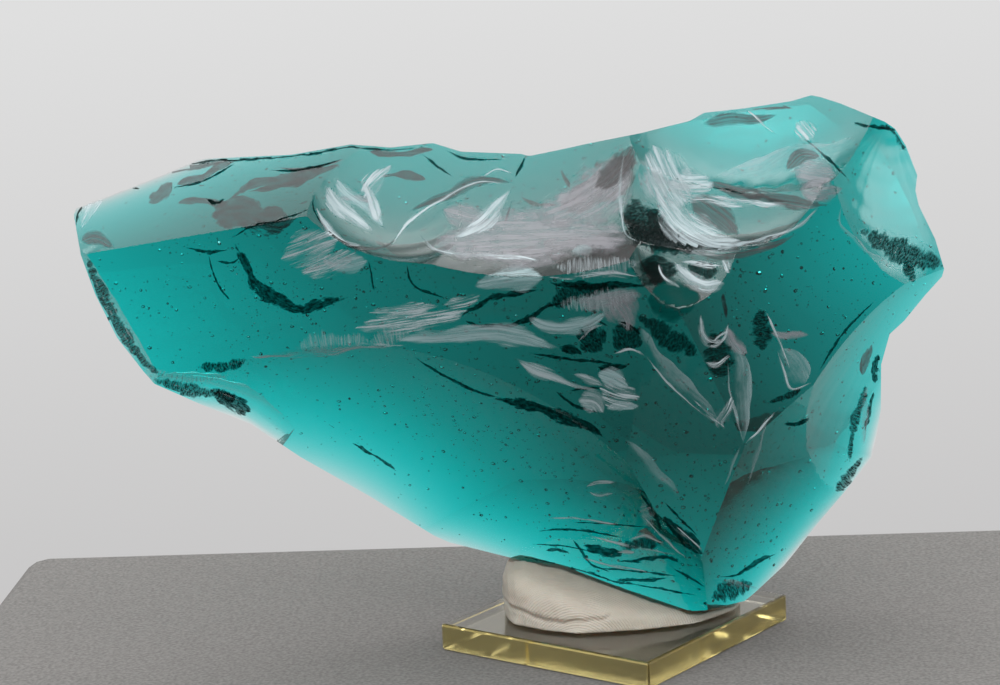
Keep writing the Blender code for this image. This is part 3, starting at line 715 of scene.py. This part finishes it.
def kneaded(solid):
    """The putty solid's mesh, pushed in and out as fingers leave it. Its foot stays flat."""
    bed = new_object("putty_bed", solid.data.copy())
    skin = bed.modifiers.new("even", "REMESH")
    skin.mode = "VOXEL"
    skin.voxel_size = PUTTY_GRAIN * MM
    finish_mesh(bed)
    mesh = bed.data
    foot = min(vertex.co.z for vertex in mesh.vertices)
    pushes = []
    for vertex in mesh.vertices:
        at = vertex.co / MM
        height = (vertex.co.z - foot) / MM
        lump = sum(rise * noise.noise(at / size) for rise, size in LUMPS)
        fold_at = FOLD_UP + FOLD_WAVE * math.sin(at.x / 7) + FOLD_WAVER * noise.noise(at / 3)
        fold = -FOLD_DEPTH * rounded(height - fold_at, FOLD_WIDTH)
        lip = LIP_HEIGHT * rounded(height - fold_at - LIP_UP, LIP_WIDTH)
        side = 1 - abs(vertex.normal.z)
        keep = min(height / FOOT, 1)
        pushes.append(vertex.normal * keep * (min(lump, LUMP_MOST) + side * (fold + lip)) * MM)
    for vertex, push in zip(mesh.vertices, pushes):
        vertex.co += push
    mesh.shade_smooth()
    return bed


# --- materials --------------------------------------------------------------------------------
def teal_glass(settings):
    """Soda-lime glass coloured by copper: it swallows red within a few millimetres, so thin
    edges are almost clear and thick parts a deep teal. Fresh fracture, so the gloss is full."""
    material = new_material("teal_glass")
    tree = material.node_tree
    place = node(tree, "ShaderNodeTexCoord")
    # Unevenness 1.1 mm across and finer, too low for the mesh.
    fine = node(
        tree, "ShaderNodeTexNoise",
        {"Scale": 900.0, "Detail": 3.0, "Roughness": 0.6, "Vector": place.outputs["Object"]},
    )
    bump = node(
        tree, "ShaderNodeBump",
        {"Strength": 0.02, "Distance": 0.0002, "Height": fine.outputs["Fac"]},
    )
    glass = node(
        tree, "ShaderNodeBsdfPrincipled",
        {
            "Base Color": (1, 1, 1, 1), "Roughness": settings.roughness,
            "IOR": settings.refraction, "Transmission Weight": 1.0,
            "Normal": bump.outputs["Normal"],
        },
    )
    body = node(
        tree, "ShaderNodeVolumeAbsorption",
        {"Color": (*settings.tint, 1), "Density": settings.absorption},
    )
    node(
        tree, "ShaderNodeOutputMaterial",
        {"Surface": glass.outputs["BSDF"], "Volume": body.outputs["Volume"]},
    )
    return material


# What each kind of mark is painted with. gloss is its specular level, most how much it hides at most,
# torn and soft how ragged and how soft its outline is, tears how many tears there are to a mm along
# and across it, streaky how deep its streaks are, and streaks how many there are to a mm.
FINISHES = {
    # Painted shade of an open fissure: air in it throws all light back, so it stands near black in the teal.
    "crack_shade": dict(
        name="open_crack_painted_shade", colour="#010A09", gloss=0.0, most=0.96, torn=0.9, soft=0.35,
        tears=(0.5, 1.2), streaky=0.25, streaks=(0.9, 2.0),
    ),
    # Painted shadow under the face, where cracks are seen almost along themselves: dark, with ragged edges.
    "shadow": dict(
        name="painted_shadow_under_face", colour="#10181A", gloss=0.0, most=0.92, torn=0.8, soft=0.3,
        tears=(0.25, 0.5), streaky=0.3, streaks=(0.3, 1.2),
    ),
    # Painted shade along a struck edge, over its splintered glass: black slivers with teal between them.
    "crushed_shade": dict(
        name="crushed_glass_painted_shade", colour="#010807", gloss=0.03, most=0.97, torn=1.0, soft=0.5,
        tears=(0.3, 0.7), streaky=0.45, streaks=(1.3, 3.2),
    ),
    # Fine steps torn in the face as the fracture ran: their ridges are real, and the white glint that each
    # catches from the light is painted.
    "hackle": dict(
        name="fresh_hackle_painted_glint", colour="#939EA2", gloss=0.5, most=0.95, torn=1.9, soft=1.1,
        tears=(0.14, 1.6), streaky=0.9, streaks=(0.12, 2.8),
    ),
    # The same steps in a row, each across it, with the same painted glint: they let the teal through between
    # them.
    "comb": dict(
        name="cross_hackle_painted_glint", colour="#939EA2", gloss=0.5, most=0.42, torn=1.9, soft=1.1,
        tears=(0.14, 1.6), streaky=0.9, streaks=(0.12, 2.8),
    ),
    # Painted sheen of a shallow flute tilted up to the light: soft grey over the teal.
    "gleam": dict(
        name="painted_flute_sheen", colour="#7F9194", gloss=0.4, most=0.5, torn=0.5, soft=0.9,
        tears=(0.25, 0.5), streaky=0.5, streaks=(0.05, 1.2),
    ),
    # Painted highlight of a narrow step turned to the light: even, pale, with a clean edge.
    "sheen": dict(
        name="painted_ledge_sheen", colour="#809598", gloss=0.4, most=0.9, torn=0.7, soft=0.6,
        tears=(0.12, 0.8), streaky=0.5, streaks=(0.05, 1.6),
    ),
    # Painted highlight of the steep side of a scoop facing the light: white, drawn out into feathers.
    "flare": dict(
        name="painted_bright_flare", colour="#8C989C", gloss=0.5, most=0.88, torn=1.2, soft=1.1,
        tears=(0.1, 0.8), streaky=0.55, streaks=(0.06, 1.5),
    ),
    # Painted reflection of the sky where a face glances the light away: lilac-grey, hiding the teal under it.
    "reflection_veil": dict(
        name="painted_sky_reflection", colour="#6B6A6F", gloss=0.4, most=0.85, torn=0.8, soft=1.0,
        tears=(0.25, 0.5), streaky=0.35, streaks=(0.05, 1.0),
    ),
    # Painted shade: dark green where teal would show.
    "deep": dict(
        name="painted_dark_teal_shade", colour="#033632", gloss=0.0, most=0.85, torn=0.4, soft=0.4,
        tears=(0.25, 0.5), streaky=0.1, streaks=(0.2, 0.4),
    ),
    # Painted shade of a step turned from the light: dull grey, drawn out in fine lines.
    "shade": dict(
        name="painted_turned_away_shade", colour="#3A3839", gloss=0.2, most=0.86, torn=0.5, soft=0.5,
        tears=(0.25, 0.5), streaky=0.45, streaks=(0.06, 2.0),
    ),
}


def painted_mark_finish(name, colour, gloss, most, torn, soft, tears, streaky, streaks):
    """A thin painted skin, for painted shade and highlights alike, that hides what lies behind it where its
    cover and its streaks say.
    """
    material = new_material(name)
    tree = material.node_tree
    cover = node(tree, "ShaderNodeAttribute", attribute_name="cover")
    grain = node(tree, "ShaderNodeAttribute", attribute_name="grain")
    drawn_tears = node(
        tree, "ShaderNodeMapping", {"Scale": (*tears, 1), "Vector": grain.outputs["Vector"]}
    )
    patchy = node(
        tree, "ShaderNodeTexNoise",
        {"Scale": 1.0, "Detail": 5.0, "Roughness": 0.6, "Vector": drawn_tears.outputs["Vector"]},
    )
    ragged = node(
        tree, "ShaderNodeMapRange",
        {
            "From Min": 0.3, "From Max": 0.7, "To Min": -torn / 2, "To Max": torn / 2,
            "Value": patchy.outputs["Fac"],
        },
        clamp=False,
    )
    whole = node(
        tree, "ShaderNodeMath", {0: cover.outputs["Fac"], 1: ragged.outputs["Result"]},
        operation="ADD",
    )
    inside = node(
        tree, "ShaderNodeMapRange",
        {
            "From Min": 0.5 - soft / 2, "From Max": 0.5 + soft / 2, "To Min": 0.0, "To Max": most,
            "Value": whole.outputs["Value"],
        },
        interpolation_type="SMOOTHSTEP",
    )
    drawn_streaks = node(
        tree, "ShaderNodeMapping", {"Scale": (*streaks, 1), "Vector": grain.outputs["Vector"]}
    )
    lines = node(
        tree, "ShaderNodeTexNoise",
        {"Scale": 1.0, "Detail": 4.0, "Roughness": 0.7, "Vector": drawn_streaks.outputs["Vector"]},
    )
    streaked = node(
        tree, "ShaderNodeMapRange",
        {
            "From Min": 0.4, "From Max": 0.6, "To Min": 1 - streaky, "To Max": 1.0,
            "Value": lines.outputs["Fac"],
        },
        interpolation_type="SMOOTHSTEP",
    )
    alpha = node(
        tree, "ShaderNodeMath", {0: inside.outputs["Result"], 1: streaked.outputs["Result"]},
        operation="MULTIPLY",
    )
    surface = node(
        tree, "ShaderNodeBsdfPrincipled",
        {
            "Base Color": (*linear(colour), 1), "Roughness": 0.35, "Specular IOR Level": gloss,
            "Alpha": alpha.outputs["Value"],
        },
    )
    node(tree, "ShaderNodeOutputMaterial", {"Surface": surface.outputs["BSDF"]})
    return material


def clear_acrylic(settings):
    """Cast acrylic, yellowed with age: clear from above, tea-coloured through its edges, and
    dulled in places by handling."""
    material = new_material("clear_acrylic")
    tree = material.node_tree
    place = node(tree, "ShaderNodeTexCoord")
    # Handled patches 8 mm across.
    handled = node(
        tree, "ShaderNodeTexNoise",
        {"Scale": 120.0, "Detail": 6.0, "Roughness": 0.7, "Vector": place.outputs["Object"]},
    )
    dulled = node(
        tree, "ShaderNodeMapRange",
        {
            "From Min": 0.35, "From Max": 0.75, "To Min": 0.03, "To Max": 0.16,
            "Value": handled.outputs["Fac"],
        },
    )
    surface = node(
        tree, "ShaderNodeBsdfPrincipled",
        {
            "Base Color": (1, 1, 1, 1), "IOR": 1.49, "Transmission Weight": 1.0,
            "Roughness": dulled.outputs["Result"],
        },
    )
    body = node(
        tree, "ShaderNodeVolumeAbsorption",
        {"Color": (*settings.tint, 1), "Density": settings.absorption},
    )
    node(
        tree, "ShaderNodeOutputMaterial",
        {"Surface": surface.outputs["BSDF"], "Volume": body.outputs["Volume"]},
    )
    return material


def mineral_putty(settings):
    """Filled rubber tack, pressed by hand: matt, soiled in patches, with the ridges of a
    finger 0.5 mm apart where a thumb pushed it home."""
    material = new_material("mineral_putty")
    tree = material.node_tree
    place = node(tree, "ShaderNodeTexCoord")
    # Soiled patches 6 mm across and finer.
    soil = node(
        tree, "ShaderNodeTexNoise",
        {"Scale": 160.0, "Detail": 6.0, "Roughness": 0.65, "Vector": place.outputs["Object"]},
    )
    blend = node(
        tree, "ShaderNodeMix",
        {"A": (*settings.colour, 1), "B": (*settings.soiled, 1), "Factor": soil.outputs["Fac"]},
        data_type="RGBA",
    )
    thumb = node(
        tree, "ShaderNodeVectorMath",
        {0: place.outputs["Object"], 1: [value * MM for value in THUMB]}, operation="DISTANCE",
    )
    waver = node(
        tree, "ShaderNodeMath",
        {0: soil.outputs["Fac"], 1: RIDGE_WAVER * MM, 2: thumb.outputs["Value"]},
        operation="MULTIPLY_ADD",
    )
    turns = node(
        tree, "ShaderNodeMath",
        {0: waver.outputs["Value"], 1: 2 * math.pi / (FINGER_RIDGE * MM)}, operation="MULTIPLY",
    )
    ridges = node(tree, "ShaderNodeMath", {0: turns.outputs["Value"]}, operation="SINE")
    pressed = node(
        tree, "ShaderNodeBump",
        {"Strength": 0.30, "Distance": 0.0002, "Height": ridges.outputs["Value"]},
    )
    smears = node(
        tree, "ShaderNodeBump",
        {
            "Strength": 0.35, "Distance": 0.0006, "Height": soil.outputs["Fac"],
            "Normal": pressed.outputs["Normal"],
        },
    )
    surface = node(
        tree, "ShaderNodeBsdfPrincipled",
        {
            "Roughness": 0.6, "Subsurface Weight": 0.1, "Base Color": blend.outputs["Result"],
            "Normal": smears.outputs["Normal"],
        },
    )
    node(tree, "ShaderNodeOutputMaterial", {"Surface": surface.outputs["BSDF"]})
    return material


def grey_cloth(settings):
    """Woven cloth drawn over a box: matt, with threads that vary in lightness."""
    material = new_material("grey_cloth")
    tree = material.node_tree
    place = node(tree, "ShaderNodeTexCoord")
    # Threads about 0.7 mm apart.
    slubs = node(
        tree, "ShaderNodeTexNoise",
        {"Scale": 1400.0, "Detail": 3.0, "Vector": place.outputs["Object"]},
    )
    thread = node(
        tree, "ShaderNodeMapRange",
        {
            "From Min": 0.3, "From Max": 0.7, "To Min": 0.72, "To Max": 1.28,
            "Value": slubs.outputs["Fac"],
        },
    )
    tone = node(
        tree, "ShaderNodeVectorMath", {0: settings.floor, "Scale": thread.outputs["Result"]},
        operation="SCALE",
    )
    weave = node(
        tree, "ShaderNodeBump",
        {"Strength": 0.3, "Distance": 0.0003, "Height": slubs.outputs["Fac"]},
    )
    surface = node(
        tree, "ShaderNodeBsdfPrincipled",
        {
            "Roughness": 0.9, "Base Color": tone.outputs["Vector"],
            "Normal": weave.outputs["Normal"],
        },
    )
    node(tree, "ShaderNodeOutputMaterial", {"Surface": surface.outputs["BSDF"]})
    return material


# --- the stage --------------------------------------------------------------------------------
FLOOR_SIZE = (0.24, 0.205, 0.08)  # metres, as are the next two
FLOOR_CENTRE = (-0.0187, -0.0278, -0.04015)
FLOOR_ROUND = 0.006
FLOOR_TURN = -3.6  # degrees
# The room, by the direction from the object, a unit vector. Each pair is where a change begins
# and ends: in how far the direction rises, points to the back, or points toward a light.
WALL_SHADED, WALL_LIT = "#C3C2C2", "#DFDFDF"  # the backdrop low down, and further up
WALL_BRIGHTENS = (-0.32, -0.08)
ROOM_BRIGHTENS = (-0.15, 0.4)  # from the room in front to the backdrop behind
ROOM_DIM = 0.34  # brightness of the room in front, where the backdrop's is 1
TENT_TOWARD = (0, -0.3, 1)
TENT_EDGE = (0.46, 0.74)
PANEL_TOWARD = (0.98, -0.05, 0.15)
PANEL_EDGE = (0.955, 0.99)
CAMERA_PLACE = (-0.0206, -0.5363, 0.1731)  # metres
CAMERA_DOWN, CAMERA_ROLL = 11.78, -2.7  # degrees
CAMERA_LENS, CAMERA_SENSOR = 100.0, 36.0


def cloth_floor(settings):
    """A box with rounded edges, covered in cloth, that the base stands on."""
    mesh = bpy.data.meshes.new("floor")
    shape = bmesh.new()
    bmesh.ops.create_cube(shape, size=1.0)
    shape.to_mesh(mesh)
    shape.free()
    mesh.transform(
        Matrix.Translation(FLOOR_CENTRE)
        @ Matrix.Rotation(math.radians(FLOOR_TURN), 4, "Z")
        @ Matrix.Diagonal((*FLOOR_SIZE, 1))
    )
    floor = new_object("floor", mesh)
    edge = floor.modifiers.new("rounded", "BEVEL")
    edge.width = FLOOR_ROUND
    edge.segments = 4
    mesh.materials.append(grey_cloth(settings))


def studio(settings):
    """The light: a backdrop that darkens toward the floor, a dim room in front, a bright tent
    overhead and a lit panel on the right."""
    world = bpy.data.worlds.new("studio")
    world.use_nodes = True
    tree = world.node_tree
    tree.nodes.clear()
    place = node(tree, "ShaderNodeTexCoord")
    parts = node(tree, "ShaderNodeSeparateXYZ", {"Vector": place.outputs["Generated"]})
    rise = node(
        tree, "ShaderNodeMapRange",
        {
            "From Min": WALL_BRIGHTENS[0], "From Max": WALL_BRIGHTENS[1],
            "To Min": 0.0, "To Max": 1.0, "Value": parts.outputs["Z"],
        },
    )
    wall = node(
        tree, "ShaderNodeMix",
        {
            "A": (*linear(WALL_SHADED), 1), "B": (*linear(WALL_LIT), 1),
            "Factor": rise.outputs["Result"],
        },
        data_type="RGBA",
    )
    behind = node(
        tree, "ShaderNodeMapRange",
        {
            "From Min": ROOM_BRIGHTENS[0], "From Max": ROOM_BRIGHTENS[1],
            "To Min": ROOM_DIM, "To Max": 1.0, "Value": parts.outputs["Y"],
        },
    )
    upward = node(
        tree, "ShaderNodeVectorMath", {0: place.outputs["Generated"], 1: TENT_TOWARD},
        operation="DOT_PRODUCT",
    )
    tent = node(
        tree, "ShaderNodeMapRange",
        {
            "From Min": TENT_EDGE[0], "From Max": TENT_EDGE[1],
            "To Min": 0.0, "To Max": settings.overhead, "Value": upward.outputs["Value"],
        },
        interpolation_type="SMOOTHSTEP",
    )
    aside = node(
        tree, "ShaderNodeVectorMath",
        {0: place.outputs["Generated"], 1: Vector(PANEL_TOWARD).normalized()},
        operation="DOT_PRODUCT",
    )
    panel = node(
        tree, "ShaderNodeMapRange",
        {
            "From Min": PANEL_EDGE[0], "From Max": PANEL_EDGE[1],
            "To Min": 0.0, "To Max": settings.panel, "Value": aside.outputs["Value"],
        },
        interpolation_type="SMOOTHSTEP",
    )
    room = node(
        tree, "ShaderNodeMath", {0: behind.outputs["Result"], 1: tent.outputs["Result"]},
        operation="ADD",
    )
    lit = node(
        tree, "ShaderNodeMath", {0: room.outputs["Value"], 1: panel.outputs["Result"]},
        operation="ADD",
    )
    glow = node(
        tree, "ShaderNodeBackground",
        {"Color": wall.outputs["Result"], "Strength": lit.outputs["Value"]},
    )
    node(tree, "ShaderNodeOutputWorld", {"Surface": glow.outputs["Background"]})
    return world


def camera():
    """The camera, a little above the object and in front of it."""
    lens = bpy.data.cameras.new("camera")
    lens.lens, lens.sensor_width = CAMERA_LENS, CAMERA_SENSOR
    made = new_object("camera", lens)
    made.matrix_world = (
        Matrix.Translation(CAMERA_PLACE)
        @ Matrix.Rotation(math.radians(90 - CAMERA_DOWN), 4, "X")
        @ Matrix.Rotation(math.radians(CAMERA_ROLL), 4, "Z")
    )
    return made


# --- settings ---------------------------------------------------------------------------------
class AndaraGlass(bpy.types.PropertyGroup):
    """The chunk of glass"""

    tint: FloatVectorProperty(
        name="Tint", description="Colour that the body of the glass lets through",
        subtype="COLOR", size=3, min=0, max=1, default=(0.0, 0.889, 0.883),
    )
    absorption: FloatProperty(
        name="Absorption", description="How strongly the body colours light, per metre",
        default=430.0, min=0,
    )
    refraction: FloatProperty(
        name="Refraction", description="Index of refraction", default=1.5, min=1, max=2,
    )
    roughness: FloatProperty(
        name="Roughness", description="Of the fractured surface", default=0.0, min=0, max=1,
        subtype="FACTOR",
    )
    bubbles: IntProperty(
        name="Bubbles", description="Bubbles inside the glass", default=3200, min=0,
    )


class AndaraPutty(bpy.types.PropertyGroup):
    """The putty bed"""

    colour: FloatVectorProperty(
        name="Colour", description="Of clean putty", subtype="COLOR", size=3, min=0, max=1,
        default=linear("#B0A99E"),
    )
    soiled: FloatVectorProperty(
        name="Soiled", description="Of putty soiled by fingers", subtype="COLOR", size=3,
        min=0, max=1, default=linear("#988E81"),
    )


class AndaraBase(bpy.types.PropertyGroup):
    """The acrylic base"""

    tint: FloatVectorProperty(
        name="Tint", description="Colour that the acrylic lets through", subtype="COLOR",
        size=3, min=0, max=1, default=(0.90, 0.85, 0.60),
    )
    absorption: FloatProperty(
        name="Absorption", description="How strongly the acrylic colours light, per metre",
        default=62.0, min=0,
    )


class AndaraStage(bpy.types.PropertyGroup):
    """Floor, backdrop, light and camera"""

    floor: FloatVectorProperty(
        name="Floor", description="Colour of the floor", subtype="COLOR", size=3, min=0, max=1,
        default=linear("#5A5856"),
    )
    overhead: FloatProperty(
        name="Light tent", description="Brightness of the tent overhead, beside the backdrop",
        default=4.2, min=0,
    )
    panel: FloatProperty(
        name="Side panel", description="Brightness of the lit panel on the right",
        default=4.5, min=0,
    )


# --- operators --------------------------------------------------------------------------------
class ANDARA_OT_glass(bpy.types.Operator):
    """Strike the chunk of glass from its blank, lay its painted shade and highlights and fill it with bubbles
    """

    bl_idname = "andara.glass"
    bl_label = "Glass Chunk"
    bl_options = {"REGISTER", "UNDO"}

    def execute(self, context):
        settings = context.scene.andara_glass
        chunk = blank()
        strike(chunk)
        struck = chunk.data
        surface = BVHTree.FromPolygons(
            [vertex.co for vertex in struck.vertices], [tuple(p.vertices) for p in struck.polygons]
        )
        for kind in FINISHES:
            lay_marks(surface, kind)
        add_bubbles(struck, settings.bubbles)
        struck.shade_smooth()
        struck.set_sharp_from_angle(angle=math.radians(RIDGE_ANGLE))
        struck.materials.clear()  # an empty slot comes with the cutters
        struck.materials.append(teal_glass(settings))
        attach(chunk, "root")
        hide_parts("glass_chunk")
        return {"FINISHED"}


class ANDARA_OT_putty(bpy.types.Operator):
    """Press the putty bed under the chunk"""

    bl_idname = "andara.putty"
    bl_label = "Putty Bed"
    bl_options = {"REGISTER", "UNDO"}

    def execute(self, context):
        bed = kneaded(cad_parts["mounting_putty"])
        bed.data.materials.clear()
        bed.data.materials.append(mineral_putty(context.scene.andara_putty))
        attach(bed, "root")
        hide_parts("mounting_putty")
        return {"FINISHED"}


class ANDARA_OT_base(bpy.types.Operator):
    """Give the base its acrylic"""

    bl_idname = "andara.base"
    bl_label = "Acrylic Base"
    bl_options = {"REGISTER", "UNDO"}

    def execute(self, context):
        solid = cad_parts["display_base"]
        solid.material_slots[0].material = clear_acrylic(context.scene.andara_base)
        return {"FINISHED"}


class ANDARA_OT_stage(bpy.types.Operator):
    """Set the floor, the backdrop, the light and the camera"""

    bl_idname = "andara.stage"
    bl_label = "Stage"
    bl_options = {"REGISTER", "UNDO"}

    def execute(self, context):
        settings = context.scene.andara_stage
        scene = context.scene
        cloth_floor(settings)
        scene.world = studio(settings)
        scene.camera = camera()
        scene.view_settings.view_transform = "Standard"
        # Light crosses many cracks and bubbles on its way through the glass.
        scene.cycles.max_bounces = 24
        scene.cycles.transmission_bounces = 24
        scene.cycles.glossy_bounces = 12
        scene.cycles.transparent_max_bounces = 32
        return {"FINISHED"}


class ANDARA_PT_panel(bpy.types.Panel):
    """Andara glass on its stand"""

    bl_idname = "ANDARA_PT_panel"
    bl_label = "Andara Glass"
    bl_space_type = "VIEW_3D"
    bl_region_type = "UI"
    bl_category = "Andara"

    def draw(self, context):
        for operator, group in PIECES:
            box = self.layout.box()
            box.operator(operator.bl_idname)
            settings = getattr(context.scene, group)
            for name in type(settings).__annotations__:
                box.prop(settings, name)


GROUPS = {
    "andara_glass": AndaraGlass,
    "andara_putty": AndaraPutty,
    "andara_base": AndaraBase,
    "andara_stage": AndaraStage,
}
PIECES = (
    (ANDARA_OT_glass, "andara_glass"),
    (ANDARA_OT_putty, "andara_putty"),
    (ANDARA_OT_base, "andara_base"),
    (ANDARA_OT_stage, "andara_stage"),
)


def register():
    for name, group in GROUPS.items():
        bpy.utils.register_class(group)
        setattr(bpy.types.Scene, name, PointerProperty(type=group))
    for operator, _ in PIECES:
        bpy.utils.register_class(operator)
    bpy.utils.register_class(ANDARA_PT_panel)


def unregister():
    bpy.utils.unregister_class(ANDARA_PT_panel)
    for operator, _ in PIECES:
        bpy.utils.unregister_class(operator)
    for name, group in GROUPS.items():
        delattr(bpy.types.Scene, name)
        bpy.utils.unregister_class(group)


def main():
    """Registers the classes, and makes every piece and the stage."""
    register()
    bpy.ops.andara.glass()
    bpy.ops.andara.putty()
    bpy.ops.andara.base()
    bpy.ops.andara.stage()


if __name__ == "__main__":
    main()
